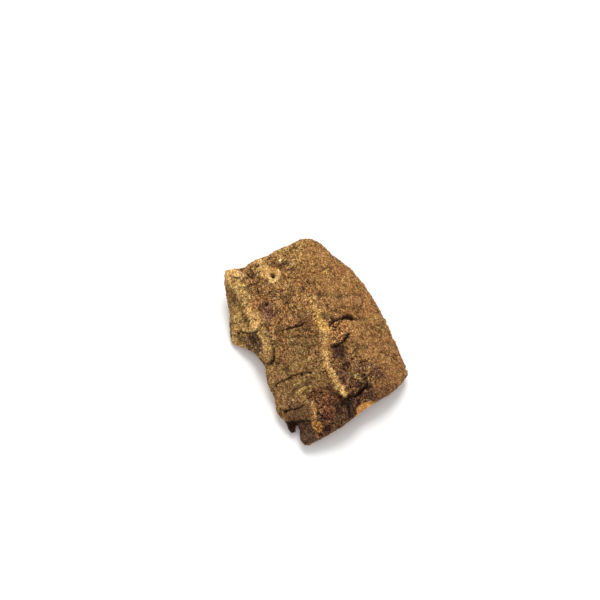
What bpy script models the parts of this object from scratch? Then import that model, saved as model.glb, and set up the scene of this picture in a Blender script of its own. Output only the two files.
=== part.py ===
"""Cork bark slab: a split plate of natural cork bark, one piece, lying hollow side down.

Y runs along the grain, X across it, Z up. Dimensions below are in millimetres.
"""

import bpy
import numpy as np
from mathutils import Vector, noise

MM = 0.001

# The bark was stripped from a thick limb, so it keeps the limb's curve across the grain.
OUTER_RADIUS = 172.0
CROWN_HEIGHT = 39.9
LEAN_PER_MM = 0.055
ROLL_PER_MM = 0.006
LEAN_FROM_Y = 44.0
MIDDLE_Y = 0.92
BARK_THICKNESS = 15.0
RIM_ROUNDING = 1.6
RIM_WIDTH = 6.0

# Broken outline, seen from above, as stations along each of its four edges.
FAR_EDGE = [(-60, 122), (-49, 118), (-39, 114), (-27, 116), (-9, 114), (8, 116), (24, 116), (44, 118), (54, 115)]
RIGHT_EDGE = [(62, 109), (66, 99), (70, 86), (77, 75), (84, 60), (88, 37), (91, 10), (90, -22), (87, -45), (84, -66), (82, -83)]
NEAR_EDGE = [(80, -93), (68, -100), (49, -106), (24, -109), (-2, -113), (-24, -118), (-48, -119), (-73, -118)]
LEFT_EDGE = [
    (-75, -109), (-70, -97), (-80, -95), (-81, -74), (-83, -65), (-78, -46), (-78, -28), (-71, -8),
    (-75, 15), (-84, 28), (-96, 45), (-89, 61), (-80, 78), (-74, 96), (-69, 110),
]

# Relief of the outer face.
RIDGE_LEFT = [(-58, 122), (-57, 97), (-59, 70), (-61, 43), (-58, 22), (-62, -2)]
RIDGE_LEFT_HEIGHT = 4.6
RIDGE_LEFT_WIDTH = 9.0
FURROW_LEFT = [(-35, 92), (-36, 57), (-40, 22), (-50, -10)]
FURROW_LEFT_DEPTH = 2.6
FURROW_LEFT_WIDTH = 8.0
RIDGE_MIDDLE = [(15, 62), (13, 13), (8, -14), (-6, -43), (-6, -88)]
RIDGE_MIDDLE_HEIGHT = 3.4
RIDGE_MIDDLE_FADE = (20.0, 66.0)
RIDGE_MIDDLE_WIDTH = 9.5
FLANK_START_X = -62.0
FLANK_SLOPE = 0.22
SHED_PLATE = [(-75, -130), (-52, -80), (-45, -66), (-30, -66), (-16, -85), (0, -94), (14, -95), (30, -90), (27, -130)]
SHED_DEPTH = 4.2
SHED_SOFTNESS = 3.0
FLAKE_SCAR = [(20, -2), (34, 3), (52, -3), (40, -22), (20, -28), (8, -24)]
FLAKE_DEPTH = 1.8
KNOB_HEIGHT = 0.9
KNOB_SIZE = 17.0
SEED = 5.3

# How finely the solid is modelled.
VOXEL = 3.6
KEPT_FACES = 0.46


def clear_scene():
    for obj in list(bpy.data.objects):
        bpy.data.objects.remove(obj, do_unlink=True)


def smooth(low, high, value):
    t = np.clip((value - low) / (high - low), 0.0, 1.0)
    return t * t * (3.0 - 2.0 * t)


def distance_to_line(x, y, line):
    """Distance from each point to a chain of straight pieces."""
    best = np.full(x.shape, 1e9)
    for (ax, ay), (bx, by) in zip(line[:-1], line[1:]):
        dx, dy = bx - ax, by - ay
        t = np.clip(((x - ax) * dx + (y - ay) * dy) / (dx * dx + dy * dy), 0.0, 1.0)
        best = np.minimum(best, np.hypot(x - ax - t * dx, y - ay - t * dy))
    return best


def depth_inside(x, y, loop):
    """Distance from the loop's border, positive inside it and negative outside."""
    inside = np.zeros(x.shape, bool)
    closed = loop + loop[:1]
    for (ax, ay), (bx, by) in zip(closed[:-1], closed[1:]):
        if ay == by:
            continue
        crosses = (ay > y) != (by > y)
        inside ^= crosses & (x < (bx - ax) * (y - ay) / (by - ay) + ax)
    away = distance_to_line(x, y, closed)
    return np.where(inside, away, -away)


def hump(distance, width):
    return np.exp(-((distance / width) ** 2))


def lumps(x, y, size, offset):
    values = [noise.noise(Vector((a / size, b / (1.7 * size), offset))) for a, b in zip(x, y)]
    return np.array(values)


def outer_face(x):
    """Height and outward tilt of the smooth curve that the bark follows."""
    side = np.clip(x / OUTER_RADIUS, -0.8, 0.8)
    return OUTER_RADIUS * (np.sqrt(1.0 - side**2) - 1.0), side


def relief(x, y, outline):
    """How far the outer face stands above or below that curve."""
    rise = RIDGE_LEFT_HEIGHT * hump(distance_to_line(x, y, RIDGE_LEFT), RIDGE_LEFT_WIDTH)
    rise -= FURROW_LEFT_DEPTH * hump(distance_to_line(x, y, FURROW_LEFT), FURROW_LEFT_WIDTH)
    middle = RIDGE_MIDDLE_HEIGHT * hump(distance_to_line(x, y, RIDGE_MIDDLE), RIDGE_MIDDLE_WIDTH)
    rise += middle * (1.0 - smooth(*RIDGE_MIDDLE_FADE, y))
    rise -= FLANK_SLOPE * np.maximum(0.0, FLANK_START_X - x) * smooth(0.0, 30.0, y)
    rise -= SHED_DEPTH * smooth(-SHED_SOFTNESS, SHED_SOFTNESS, depth_inside(x, y, SHED_PLATE))
    rise -= FLAKE_DEPTH * smooth(-2.0, 3.0, depth_inside(x, y, FLAKE_SCAR))
    rise += KNOB_HEIGHT * lumps(x, y, KNOB_SIZE, SEED)
    rise -= RIM_ROUNDING * (1.0 - smooth(0.0, RIM_WIDTH, depth_inside(x, y, outline)))
    return rise


def outline_solid(loop):
    """The broken outline as a filled curve, given the bark's thickness."""
    curve = bpy.data.curves.new("outline", "CURVE")
    curve.dimensions = "2D"
    curve.fill_mode = "BOTH"
    curve.extrude = 0.5 * BARK_THICKNESS * MM
    spline = curve.splines.new("POLY")
    spline.points.add(len(loop) - 1)
    for point, (px, py) in zip(spline.points, loop):
        point.co = (px * MM, py * MM, 0.0, 1.0)
    spline.use_cyclic_u = True
    plate = bpy.data.objects.new("flat_plate", curve)
    bpy.context.scene.collection.objects.link(plate)
    graph = bpy.context.evaluated_depsgraph_get()
    mesh = bpy.data.meshes.new_from_object(plate.evaluated_get(graph))
    bpy.data.objects.remove(plate, do_unlink=True)

    body = bpy.data.objects.new("flat_body", mesh)
    bpy.context.scene.collection.objects.link(body)
    remesh = body.modifiers.new("even_faces", "REMESH")
    remesh.mode = "VOXEL"
    remesh.voxel_size = VOXEL * MM
    graph = bpy.context.evaluated_depsgraph_get()
    mesh = bpy.data.meshes.new_from_object(body.evaluated_get(graph))
    bpy.data.objects.remove(body, do_unlink=True)
    return mesh


def bend_to_bark(mesh, loop):
    """Lays the flat plate over the limb's curve and raises its ridges and furrows."""
    count = len(mesh.vertices)
    flat = np.empty(count * 3)
    mesh.vertices.foreach_get("co", flat)
    x, y, z = flat.reshape(-1, 3).T / MM
    top = np.clip(z / BARK_THICKNESS + 0.5, 0.0, 1.0)
    drop, side = outer_face(x)
    lift = np.sqrt(1.0 - side**2)
    inner = 0.7 * lumps(x, y, 26.0, SEED + 9.0)
    offset = top * relief(x, y, loop) + (1.0 - top) * (inner - BARK_THICKNESS)
    bent = np.stack(
        [
            x + side * offset,
            y - MIDDLE_Y,
            CROWN_HEIGHT + drop + lift * offset + LEAN_PER_MM * (y - LEAN_FROM_Y) + ROLL_PER_MM * x,
        ],
        axis=1,
    )
    mesh.vertices.foreach_set("co", (bent * MM).ravel())
    mesh.update()


def bark_material():
    material = bpy.data.materials.new("cork_bark")
    material.use_nodes = True
    shader = material.node_tree.nodes["Principled BSDF"]
    shader.inputs["Base Color"].default_value = (0.27, 0.14, 0.06, 1.0)
    shader.inputs["Roughness"].default_value = 0.88
    material.diffuse_color = (0.27, 0.14, 0.06, 1.0)
    return material


def main():
    clear_scene()
    parts = bpy.data.collections.new("cork_bark_slab")
    cutters = bpy.data.collections.new("cutters")
    cutters.hide_render = True
    bpy.context.scene.collection.children.link(parts)
    bpy.context.scene.collection.children.link(cutters)

    loop = FAR_EDGE + RIGHT_EDGE + NEAR_EDGE + LEFT_EDGE
    mesh = outline_solid(loop)
    bend_to_bark(mesh, loop)
    for face in mesh.polygons:
        face.use_smooth = True

    slab = bpy.data.objects.new("cork_bark_slab", mesh)
    parts.objects.link(slab)
    mesh.materials.clear()
    mesh.materials.append(bark_material())

    thin = slab.modifiers.new("fewer_faces", "DECIMATE")
    thin.decimate_type = "COLLAPSE"
    thin.ratio = KEPT_FACES

    # What would reach below the surface it rests on is worn flat.
    bpy.ops.mesh.primitive_cube_add(size=1.0, location=(0.0, 0.0, -0.02))
    floor = bpy.context.object
    floor.name = "resting_plane"
    floor.scale = (0.4, 0.4, 0.04)
    floor.display_type = "WIRE"
    floor.hide_render = True
    for owner in list(floor.users_collection):
        owner.objects.unlink(floor)
    cutters.objects.link(floor)
    cut = slab.modifiers.new("resting_feet", "BOOLEAN")
    cut.operation = "DIFFERENCE"
    cut.solver = "EXACT"
    cut.object = floor


main()
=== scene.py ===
"""Looks of the cork bark slab: a detailed bark mesh in the CAD frame, its material, a pale floor, soft light and the camera."""

import bpy
import numpy as np
from mathutils import Matrix, Vector


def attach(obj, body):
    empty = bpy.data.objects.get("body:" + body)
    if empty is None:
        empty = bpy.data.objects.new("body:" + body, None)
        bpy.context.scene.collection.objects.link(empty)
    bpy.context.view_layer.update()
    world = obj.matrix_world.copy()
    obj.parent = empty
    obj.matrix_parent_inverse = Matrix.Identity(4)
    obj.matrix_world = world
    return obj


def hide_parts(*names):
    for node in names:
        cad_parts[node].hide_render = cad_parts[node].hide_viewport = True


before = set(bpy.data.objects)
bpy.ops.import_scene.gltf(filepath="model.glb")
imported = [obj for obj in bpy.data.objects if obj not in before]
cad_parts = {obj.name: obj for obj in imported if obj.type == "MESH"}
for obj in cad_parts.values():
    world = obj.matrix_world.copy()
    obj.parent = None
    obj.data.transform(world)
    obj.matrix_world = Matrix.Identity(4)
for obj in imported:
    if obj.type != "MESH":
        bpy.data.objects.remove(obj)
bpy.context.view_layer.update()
MM = 0.001

# ---------------------------------------------------------------- the bark's base shape, in mm, as in the CAD source
OUTER_RADIUS = 172.0
CROWN_HEIGHT = 39.9
LEAN_PER_MM = 0.055
ROLL_PER_MM = 0.006
LEAN_FROM_Y = 44.0
MIDDLE_Y = 0.92
BARK_THICKNESS = 15.0

FAR_EDGE = [(-60, 122), (-49, 118), (-39, 114), (-27, 116), (-9, 114), (8, 116), (24, 116), (44, 118), (54, 115)]
RIGHT_EDGE = [(62, 109), (66, 99), (70, 86), (77, 75), (84, 60), (88, 37), (91, 10), (90, -22), (87, -45), (84, -66), (82, -83)]
NEAR_EDGE = [(80, -93), (68, -100), (49, -106), (24, -109), (-2, -112.6), (-24, -117), (-48, -117.6), (-74, -115.6)]
LEFT_EDGE = [
    (-76, -108.5), (-73, -101.5), (-71, -94), (-71.8, -88), (-77, -87.6), (-78.8, -91.5), (-80.2, -94.8), (-81.8, -92.5), (-81.6, -84), (-80.2, -75.5), (-83.4, -70.5), (-83.5, -65), (-78.4, -46), (-78, -28),
    (-71, -8), (-75, 15), (-84, 28), (-96, 45), (-89, 61), (-80, 78), (-74, 96), (-69, 110),
]
OUTLINE = FAR_EDGE + RIGHT_EDGE + NEAR_EDGE + LEFT_EDGE

RIDGE_LEFT = [(-58, 122), (-57, 97), (-59, 70), (-61, 43), (-58, 22), (-62, -2)]
FURROW_LEFT = [(-35, 92), (-36, 57), (-40, 22), (-50, -10)]
RIDGE_MIDDLE = [(15, 62), (13, 13), (8, -14), (-6, -43), (-6, -88)]
SHED_PLATE = [(-75, -130), (-52, -80), (-45, -66), (-30, -66), (-16, -85), (0, -94), (14, -95), (30, -90), (27, -130)]
SHED_LOOK = [(-66, -130), (-54, -95), (-47, -80), (-48, -71), (-42, -64), (-35, -61), (-26, -64), (-16.5, -68), (-12.4, -74), (-11.6, -81.5), (-13, -87), (-8.4, -92.4), (-4, -91.8), (4, -93), (13, -92.7), (18, -91), (24.5, -88.5), (31, -94), (28, -101), (35, -106), (33, -130)]
FLAKE_SCAR = [(20, -2), (34, 3), (52, -3), (40, -22), (20, -28), (8, -24)]


# ---------------------------------------------------------------- small maths
def smooth(low, high, value):
    t = np.clip((value - low) / (high - low), 0.0, 1.0)
    return t * t * (3.0 - 2.0 * t)


def hump(distance, width):
    return np.exp(-((distance / width) ** 2))


def lerp(a, b, t):
    return a + (b - a) * t


def stair(value, sharp):
    """Turns a smooth height into flat levels with steep ledges; also how far each point is toward the next level."""
    level = np.floor(value)
    part = value - level
    return level + 0.8 * smooth(0.0, sharp, part) + 0.2 * part, part


def line_fields(x, y, line):
    """Distance to a chain of straight pieces, that distance signed (positive on its left), and how far along it, with its length."""
    best = np.full(x.shape, 1e9)
    signed = np.zeros(x.shape)
    along = np.zeros(x.shape)
    start = 0.0
    for (ax, ay), (bx, by) in zip(line[:-1], line[1:]):
        dx, dy = bx - ax, by - ay
        length = np.hypot(dx, dy)
        t = np.clip(((x - ax) * dx + (y - ay) * dy) / (length * length), 0.0, 1.0)
        d = np.hypot(x - ax - t * dx, y - ay - t * dy)
        closer = d < best
        side = np.sign(dx * (y - ay) - dy * (x - ax))
        best = np.where(closer, d, best)
        signed = np.where(closer, d * side, signed)
        along = np.where(closer, start + t * length, along)
        start += length
    return best, signed, along, start


def depth_inside(x, y, loop):
    inside = np.zeros(x.shape, bool)
    closed = loop + loop[:1]
    for (ax, ay), (bx, by) in zip(closed[:-1], closed[1:]):
        if ay == by:
            continue
        crosses = (ay > y) != (by > y)
        inside ^= crosses & (x < (bx - ax) * (y - ay) / (by - ay) + ax)
    away = line_fields(x, y, closed)[0]
    return np.where(inside, away, -away)


class Noise:
    """Seeded gradient noise in three dimensions, about -1 to 1."""

    def __init__(self, seed):
        rng = np.random.default_rng(seed)
        order = rng.permutation(256)
        self.order = np.concatenate([order, order, order])
        g = rng.normal(size=(256, 3))
        self.slope = g / np.linalg.norm(g, axis=1)[:, None]

    def __call__(self, p, size):
        q = p / np.asarray(size, float)
        cell = np.floor(q).astype(np.int64)
        f = q - cell
        cell &= 255
        u = f * f * f * (f * (f * 6 - 15) + 10)
        total = np.zeros(len(p))
        for i in (0, 1):
            for j in (0, 1):
                for k in (0, 1):
                    h = self.order[self.order[self.order[(cell[:, 0] + i) & 255] + ((cell[:, 1] + j) & 255)] + ((cell[:, 2] + k) & 255)]
                    g = self.slope[h]
                    dot = g[:, 0] * (f[:, 0] - i) + g[:, 1] * (f[:, 1] - j) + g[:, 2] * (f[:, 2] - k)
                    w = (u[:, 0] if i else 1 - u[:, 0]) * (u[:, 1] if j else 1 - u[:, 1]) * (u[:, 2] if k else 1 - u[:, 2])
                    total += w * dot
        return total * 1.6

    def layers(self, p, size, count=4, gain=0.55):
        total, weight, norm = np.zeros(len(p)), 1.0, 0.0
        size = np.asarray(size, float)
        for i in range(count):
            total += weight * self(p + 17.3 * i, size)
            norm += weight
            weight *= gain
            size = size * 0.5
        return total / norm

    def ridged(self, p, size, count=3, gain=0.5):
        total, weight, norm = np.zeros(len(p)), 1.0, 0.0
        size = np.asarray(size, float)
        for i in range(count):
            total += weight * (1.0 - 2.0 * np.abs(self(p + 31.7 * i, size)))
            norm += weight
            weight *= gain
            size = size * 0.5
        return total / norm


def cells(x, y, size, seed, jitter=0.9):
    """Irregular cells: distance to the nearest and second nearest centre in cell units, the cell's own random numbers, and the offset from its centre."""
    rng = np.random.default_rng(seed)
    table = rng.random((4096, 4))
    order = rng.permutation(4096)
    qx, qy = x / size[0], y / size[1]
    ix, iy = np.floor(qx).astype(np.int64), np.floor(qy).astype(np.int64)
    f1 = np.full(x.shape, 9.0)
    f2 = np.full(x.shape, 9.0)
    own = np.zeros((len(x), 2))
    ox, oy = np.zeros(x.shape), np.zeros(x.shape)
    for i in (-1, 0, 1):
        for j in (-1, 0, 1):
            h = order[(order[(ix + i) & 4095] + iy + j) & 4095]
            r = table[h]
            cx = ix + i + 0.5 + jitter * (r[:, 0] - 0.5)
            cy = iy + j + 0.5 + jitter * (r[:, 1] - 0.5)
            d = np.hypot(qx - cx, qy - cy)
            near = d < f1
            f2 = np.where(near, f1, np.minimum(f2, d))
            f1 = np.where(near, d, f1)
            own = np.where(near[:, None], r[:, 2:], own)
            ox = np.where(near, qx - cx, ox)
            oy = np.where(near, qy - cy, oy)
    return f1, f2, own, ox, oy


def srgb(r, g, b):
    c = np.array([r, g, b]) / 255.0
    return np.where(c <= 0.04045, c / 12.92, ((c + 0.055) / 1.055) ** 2.4)


# ---------------------------------------------------------------- features of the outer face
# Cracks: (chain of points, width at each, depth, darkness, rise of the plate on the crack's left, on its right)
CRACKS = [
    ([(-53, 35), (-49.6, 31), (-48.8, 25), (-49.8, 17.7), (-51.8, 11), (-53.2, 3.8), (-55.5, -2.8), (-58.8, -7.8), (-63, -10), (-69, -8.4)], (0.4, 0.4, 0.5, 0.5, 0.6, 0.8, 1.2, 1.9, 1.7, 0.8), 3.0, 1.0, 0.0, 1.6),
    ([(-89, 49), (-77.6, 45.8), (-69, 37.2), (-62.7, 33.2), (-58.3, 32), (-52.5, 35)], (0.5, 1.2, 0.8, 1.0, 0.8, 0.5), 2.0, 0.9, 1.8, 0.0),
    ([(-77.8, 33.3), (-73.5, 32.5), (-67.9, 31.4), (-63.7, 28), (-61.8, 22.9), (-62, 18), (-63.5, 13.8)], (0.8, 1.8, 2.2, 2.0, 1.8, 1.4, 0.8), 0.9, 0.65, 0.0, 0.0),
    ([(-40, 22), (-31, 17), (-23.3, 15.4), (-19, 15.1), (-12.1, 12.8), (-4.9, 14.5)], (0.6, 1.0, 1.9, 1.2, 1.5, 0.6), 2.0, 1.0, 1.2, 0.0),
    ([(-17, -18.5), (-12.8, -17)], (0.8, 0.7), 1.0, 0.8, 0.5, 0.0),
    ([(-31, -19.5), (-27, -16.5)], (0.8, 0.9), 1.0, 0.7, 0.3, 0.0),
    ([(-73, -44), (-70.5, -36.4), (-65.3, -35.4), (-59.7, -37), (-53.4, -38.4), (-47.5, -38.2), (-42.8, -39.6), (-39.4, -40.8)],
     (0.4, 0.6, 0.6, 0.5, 0.6, 0.5, 0.7, 2.0), 2.0, 0.95, 1.4, 0.0),
    ([(-39.4, -40.8), (-35.9, -41.4), (-32.6, -42.6), (-28.9, -45.8), (-27.2, -50.8)], (1.6, 0.5, 1.1, 1.2, 0.5), 1.8, 0.95, 1.0, 0.0),
    ([(-19.3, -56), (-15, -52.5), (-10.6, -54.5)], (0.6, 0.9, 0.6), 1.2, 0.8, 0.7, 0.0),
    ([(-78, -66), (-75, -69.8), (-69.6, -71.4), (-63.9, -74), (-58.6, -75.6), (-54.8, -74.8), (-50.5, -75.6)], (0.8, 1.2, 0.5, 0.6, 0.8, 0.9, 0.5), 2.2, 1.0, 1.5, 0.0),
    ([(-84, -81), (-76.7, -83), (-70.4, -86.5), (-62, -91), (-53, -98)], (1.6, 2.6, 1.8, 1.0, 0.7), 2.6, 1.0, 3.0, 0.0),
    ([(-1, -92.6), (4, -93), (8, -93.4), (13, -92.6), (17.8, -91), (24, -88), (29, -84.5)], (0.8, 1.9, 1.3, 2.2, 1.4, 1.4, 0.5), 2.4, 1.0, 0.8, 0.0),
    ([(-4, -93), (-9, -104), (-13, -116)], (1.4, 1.9, 1.5), 2.0, 0.9, 0.6, 0.0),
    ([(16, -6), (18.5, -3.5), (22.3, -1), (26.8, 0.9), (32.7, 1.5), (38.5, 0.9), (41.9, 0.7), (45.9, 0.7), (48.6, -1.5), (50.8, -4.2), (54, -6.5)],
     (0.5, 0.8, 0.6, 1.0, 0.9, 1.6, 3.0, 2.8, 3.0, 2.2, 0.8), 4.2, 1.0, 1.6, 0.0),
    ([(5.5, -28.4), (9.6, -28.6), (13.5, -29.2), (18.9, -29.4), (22.1, -28.6), (25.1, -28.1), (27.6, -25.1), (31.5, -24.3), (34.8, -21), (40.4, -22)],
     (0.9, 2.2, 2.4, 1.7, 1.5, 2.0, 2.3, 2.2, 2.1, 0.8), 3.6, 1.0, 2.0, 0.0),
    ([(25, -63), (31.7, -60.1), (38, -61), (44.5, -59.5)], (0.6, 1.1, 0.8, 0.4), 1.8, 0.9, 0.7, 0.0),
    ([(60, -56.5), (64.5, -59.2)], (1.1, 0.7), 1.2, 0.8, 0.2, 0.0),
    ([(-36, 83), (-40.3, 72)], (1.3, 0.7), 1.8, 0.9, 0.0, 0.4),
    ([(-57, 109), (-50, 104), (-45.5, 106)], (1.0, 1.4, 0.8), 1.8, 0.9, 0.9, 0.0),
    ([(-63, 78), (-67, 63), (-67, 50), (-64, 41)], (1.6, 2.2, 2.0, 1.0), 1.4, 0.35, 0.3, 0.9),
    ([(-21, 52), (-12, 44), (-4, 41), (4, 44)], (0.5, 0.8, 0.9, 0.5), 1.1, 0.5, 0.6, 0.0),
    ([(-30, 5), (-20, 0), (-11, 1)], (0.5, 0.9, 0.5), 1.0, 0.45, 0.6, 0.0),
    ([(24, 46), (31, 39), (40, 38)], (0.5, 0.9, 0.5), 0.9, 0.45, 0.4, 0.0),
    ([(44, -74), (53, -79), (60, -77)], (0.5, 1.0, 0.6), 1.0, 0.5, 0.5, 0.0),
    ([(0, 77), (9, 70), (12, 60)], (0.5, 1.0, 0.6), 1.0, 0.5, 0.4, 0.0),
    ([(-27, 70), (-17, 66), (-8, 68)], (0.5, 1.0, 0.6), 1.0, 0.55, 0.5, 0.0),
    ([(-45, -20), (-36, -24), (-26, -23)], (0.4, 0.7, 0.4), 0.8, 0.35, 0.4, 0.0),
]
# Pits: (x, y, radius, depth, darkness)
PITS = [
    (-36.8, 58.5, 3.0, 3.0, 1.0),
    (-13.3, 87.0, 3.1, 6.2, 1.0),
    (-7.9, 77.5, 1.5, 0.9, 0.7),
    (-38.8, -41.4, 2.1, 2.4, 1.0),
    (-68.5, -68.0, 1.7, 1.2, 0.8),
    (-75, -70, 2.4, 1.8, 0.9),
    (-12, -97, 5.0, 1.6, 0.75),
    (60.5, -57.5, 1.4, 1.0, 0.8),
    (-42.6, 99.6, 1.6, 1.2, 0.9),
    (54.6, 48.3, 1.6, 0.8, 0.6),
    (-68.0, 26.0, 3.2, 1.6, 0.8),
    (-73.0, 29.0, 2.6, 1.2, 0.75),
    (-65.5, 17.0, 2.4, 1.2, 0.7),
    (-55.5, 103.2, 1.7, 0.9, 0.8),
    (-49.0, 98.8, 1.8, 0.9, 0.8),
    (-57.0, 111.6, 1.4, 0.7, 0.7),
    (-52.0, 113.5, 1.2, 0.6, 0.6),
]
DARK_SPECKLED = [(6, -38), (16, -42), (24, -50), (36, -62), (50, -72), (46, -86), (34, -92), (0, -92), (-4, -74), (-1, -52)]
HOLLOW_LEFT = [(-84, 41), (-70, 38), (-62, 32), (-61, 18), (-66, 4), (-82, 14)]
LOBE = [(-53, 31.5), (-50.3, 26.5), (-50.2, 19.2), (-52.6, 10.9), (-54.2, 1.9), (-57.4, -6), (-62, -9.2), (-67, -8.6), (-67.5, -5.5), (-65.9, 2.1), (-61.8, 9.3), (-58, 15.7), (-56.3, 22.7), (-54.6, 29)]
BULGE = [(-76, 75), (-68, 73), (-70, 56), (-79, 44), (-86, 54)]
CORNER = [(-84, -80), (-73, -85), (-65.5, -89.3), (-60, -93.6), (-55, -97.5), (-58, -109), (-58, -124), (-84, -124)]
NOTCH_HOLLOW = [(-79, -83), (-70, -88), (-69, -93), (-72, -97), (-80, -97), (-83, -90)]
UNDER_SCAR = [(7, -28.5), (22, -30.5), (22, -38), (16, -45), (6, -43)]
BARE_EDGE = [(-3.5, -124), (-3, -111.5), (-0.6, -108), (4, -105.4), (10, -105), (16, -106.4), (21.5, -107.4), (27, -109.8), (29, -124)]
CREAM = [(-62, 125), (-50, 121), (-45, 112), (-41, 103), (-42.5, 99), (-49, 101), (-54.5, 105), (-60, 111)]
KNOT_CORE = [(-20.5, 102.5), (-12.5, 101.5), (-5.5, 93.5), (-1.5, 86.6), (-4.5, 80), (-14, 75.8), (-21.3, 78.8), (-21.8, 88.2), (-24.3, 94.5)]
GOLD = [(10.5, 22), (15, 12), (17, 0), (13, -12), (6, -6), (5, 6), (7, 16)]
GOLD_BLOB = [(-54.8, -97.8), (-49.6, -98.4), (-45.8, -103), (-46, -108.5), (-49.4, -113.2), (-53.2, -113.2), (-55.6, -109), (-57, -105), (-56.2, -100.5)]
GOLD_STREAK = [(-43.4, -77), (-44.6, -82), (-47, -88), (-49.8, -95)]
CREST_HIGH = [(15.3, 50), (13.3, 36), (12.4, 21), (10.7, 4.7), (8.4, -10), (4, -18)]
CREST_LOW = [(4, -18), (-0.8, -24.3), (-4.6, -37.3), (-8.0, -48), (-7.9, -57), (-7.2, -63), (-6.4, -70), (-6.0, -78), (-7.0, -86), (-8.4, -91)]
# Patches of colour: (loop, softness of its edge, colour, strength)
PATCHES = [
    ([(5, 118), (40, 117), (44, 92), (22, 80), (8, 96)], 9.0, (160, 126, 77), 0.6),
    ([(56, 112), (68, 92), (64, 70), (44, 84), (46, 104)], 8.0, (156, 114, 70), 0.6),
    ([(-9, 107), (-1, 102), (3, 91), (-3, 86.5), (-6, 94.5), (-11, 100)], 2.0, (112, 76, 45), 0.9),
    ([(-38, 112), (-28, 104), (-31, 90), (-44, 90)], 4.0, (143, 102, 62), 0.6),
    ([(-60, 107), (-51, 99), (-47, 86), (-55, 79), (-62, 92)], 3.5, (192, 158, 100), 0.8),
    ([(-78, 108), (-66, 102), (-62, 86), (-66, 78), (-79, 82), (-82, 92)], 3.0, (116, 90, 53), 0.7),
    ([(-26, 116), (-11, 116), (-9, 101), (-24, 91), (-33, 98)], 4.0, (188, 152, 99), 0.65),
    ([(-44, 61), (-31, 58), (-35, 38), (-51, 42)], 4.0, (116, 78, 64), 0.75),
    ([(-4, 30), (7, 18), (-2, 12), (-17, 19), (-14, 28)], 5.0, (110, 73, 48), 0.6),
    ([(48, 39), (58, 28), (48, 10), (36, 14), (38, 30)], 5.0, (118, 83, 51), 0.6),
    ([(77, -12), (89, -17), (84, -36), (69, -33)], 6.0, (132, 107, 61), 0.5),
    ([(-73, -66), (-52, -73), (-44, -72), (-55, -97), (-60, -93), (-73, -84), (-80, -80)], 3.0, (92, 64, 42), 0.85),
    ([(-70, -46), (-70, -59), (-76, -70), (-84, -66), (-82, -46)], 2.0, (134, 97, 59), 0.75),
    ([(-68, -56), (-63, -62), (-66, -69), (-72, -67)], 2.0, (100, 62, 46), 0.75),
    ([(-52, -44), (-40, -46), (-36, -60), (-46, -74), (-54, -66)], 4.0, (162, 129, 78), 0.75),
    ([(-72, 104), (-60, 100), (-60, 76), (-70, 66), (-80, 72)], 4.0, (124, 95, 56), 0.6),
    ([(-70, -46), (-54, -44), (-53, -66), (-66, -70)], 3.0, (110, 83, 51), 0.75),
    ([(34, -86), (50, -80), (56, -94), (44, -104), (26, -104), (28, -94)], 4.0, (104, 70, 43), 0.7),
    ([(6, -58), (24, -60), (28, -72), (12, -76)], 3.5, (92, 60, 42), 0.6),
    ([(26, -66), (38, -74), (47, -91), (36, -101), (28, -84)], 4.0, (142, 103, 62), 0.55),
]
# Chips of pale bark: (x, y, radius, colour)
CHIPS = [
    (3.6, 100.4, 2.3, (218, 182, 130)),
    (13.4, 89.8, 2.0, (205, 166, 116)),
    (-22.7, 59.0, 2.1, (208, 168, 122)),
    (-5.5, 66.0, 1.6, (198, 158, 108)),
    (48.0, 64.0, 2.7, (214, 180, 104)),
    (13.3, 36.5, 3.2, (206, 162, 96)),
    (-37.0, -46.0, 1.3, (200, 160, 120)),
    (-26.0, -49.5, 1.2, (205, 165, 120)),
    (-62.0, -63.5, 1.3, (210, 170, 130)),
    (44.0, -11.0, 1.4, (196, 158, 118)),
    (37.0, -3.5, 1.3, (190, 150, 112)),
]


def crack_fields(x, y, warp):
    """Depth, darkness and rise that the cracks and pits give at each point."""
    rise = np.zeros(x.shape)
    dark = np.zeros(x.shape)
    pits = np.zeros(x.shape)
    wx, wy = x + warp[0] + warp[4], y + warp[1] + warp[5]
    for line, widths, depth, shade, left, right in CRACKS:
        d, signed, along, length = line_fields(wx, wy, line)
        steps = np.hypot(*(np.array(line[1:], float) - np.array(line[:-1], float)).T)
        width = np.interp(along, np.concatenate([[0.0], np.cumsum(steps)]), widths)
        end = min(5.0, 0.3 * length)
        taper = smooth(-1.0, end, along) * smooth(-1.0, end, length - along)
        wide = width * np.clip(1.0 + 1.3 * warp[2], 0.35, 2.2)
        groove = np.exp(-np.abs(d / wide) ** 2.2)
        rise -= depth * taper * groove
        broken = np.clip(0.5 + 0.5 * smooth(-0.5, 0.2, warp[3]) + 0.25 * (width - 1.0), 0.0, 1.0)
        # the crack's darkness: partly dark bark in the crevice, partly painted shade in it
        dark = np.maximum(dark, shade * taper * broken * np.exp(-np.abs(d / (wide * 1.15)) ** 3.2))
        fall = np.exp(-np.abs(d) / 5.5) * taper
        rise += left * fall * smooth(0.0, 1.0, signed) + right * fall * smooth(0.0, 1.0, -signed)
    for px, py, radius, depth, shade in PITS:
        d = np.hypot(x + 0.3 * warp[0] - px, (y + 0.3 * warp[1] - py) * 0.85) / radius
        rise -= depth * np.exp(-(d**3))
        # the pit's darkness: painted shade inside the pit
        pits = np.maximum(pits, shade * np.exp(-(d**3)))
    return rise, dark, pits


def base_relief(x, y):
    """The relief that the CAD solid has."""
    rise = 4.6 * hump(line_fields(x, y, RIDGE_LEFT)[0], 9.0)
    rise -= 2.6 * hump(line_fields(x, y, FURROW_LEFT)[0], 8.0)
    middle = 3.4 * hump(line_fields(x, y, RIDGE_MIDDLE)[0], 9.5)
    rise += middle * (1.0 - smooth(20.0, 66.0, y))
    rise -= 0.22 * np.maximum(0.0, -62.0 - x) * smooth(0.0, 30.0, y)
    return rise


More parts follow.
